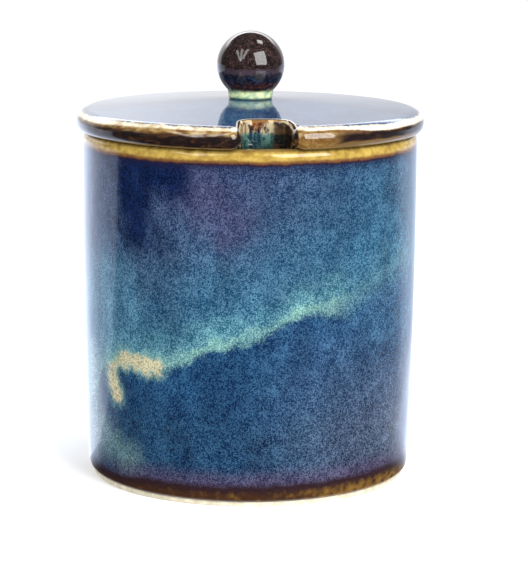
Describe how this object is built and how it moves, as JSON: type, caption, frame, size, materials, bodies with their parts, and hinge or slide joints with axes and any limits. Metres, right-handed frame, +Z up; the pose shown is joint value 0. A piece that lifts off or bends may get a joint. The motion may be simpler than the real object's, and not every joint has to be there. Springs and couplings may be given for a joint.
{
  "type": "lidded yarn bowl",
  "caption": "Lidded stoneware yarn bowl: barrelled jar under a low conical lift-off lid with a ball knob, a locating ring and a notch for the yarn.",
  "frame": {"origin": "centre of the jar's foot, on the surface it stands on", "axes": "+Z up along the jar's axis, -Y towards the notch in the lid, +X to the right seen from the notch"},
  "size_m": [0.1358, 0.1346, 0.1745],
  "materials": {
    "jar_glaze": "glossy mottled blue reactive glaze with a honey rim, a brown foot band and a bare pale foot",
    "lid_glaze": "glossy blue reactive glaze that breaks to honey and brown along the edge and in the notch",
    "ring_glaze": "glossy teal glaze",
    "knob_glaze": "glossy dark brown speckled glaze, celadon where it pools round the neck"
  },
  "bodies": {
    "jar": {"jar_body": "jar_glaze"},
    "lid_grip": {"lid_knob": "knob_glaze"},
    "lid": {"lid_plate": "lid_glaze", "lid_locating_ring": "ring_glaze"}
  },
  "joints": [
    {"name": "lid_lift", "type": "slide", "parent": "jar", "child": "lid_grip", "axis": [0, 0, 1], "range_m": [0, 0.12]},
    {"name": "lid_turn", "type": "hinge", "parent": "lid_grip", "child": "lid", "pos_m": [0, 0, 0.1481], "axis": [0, 0, 1], "continuous": true}
  ]
}
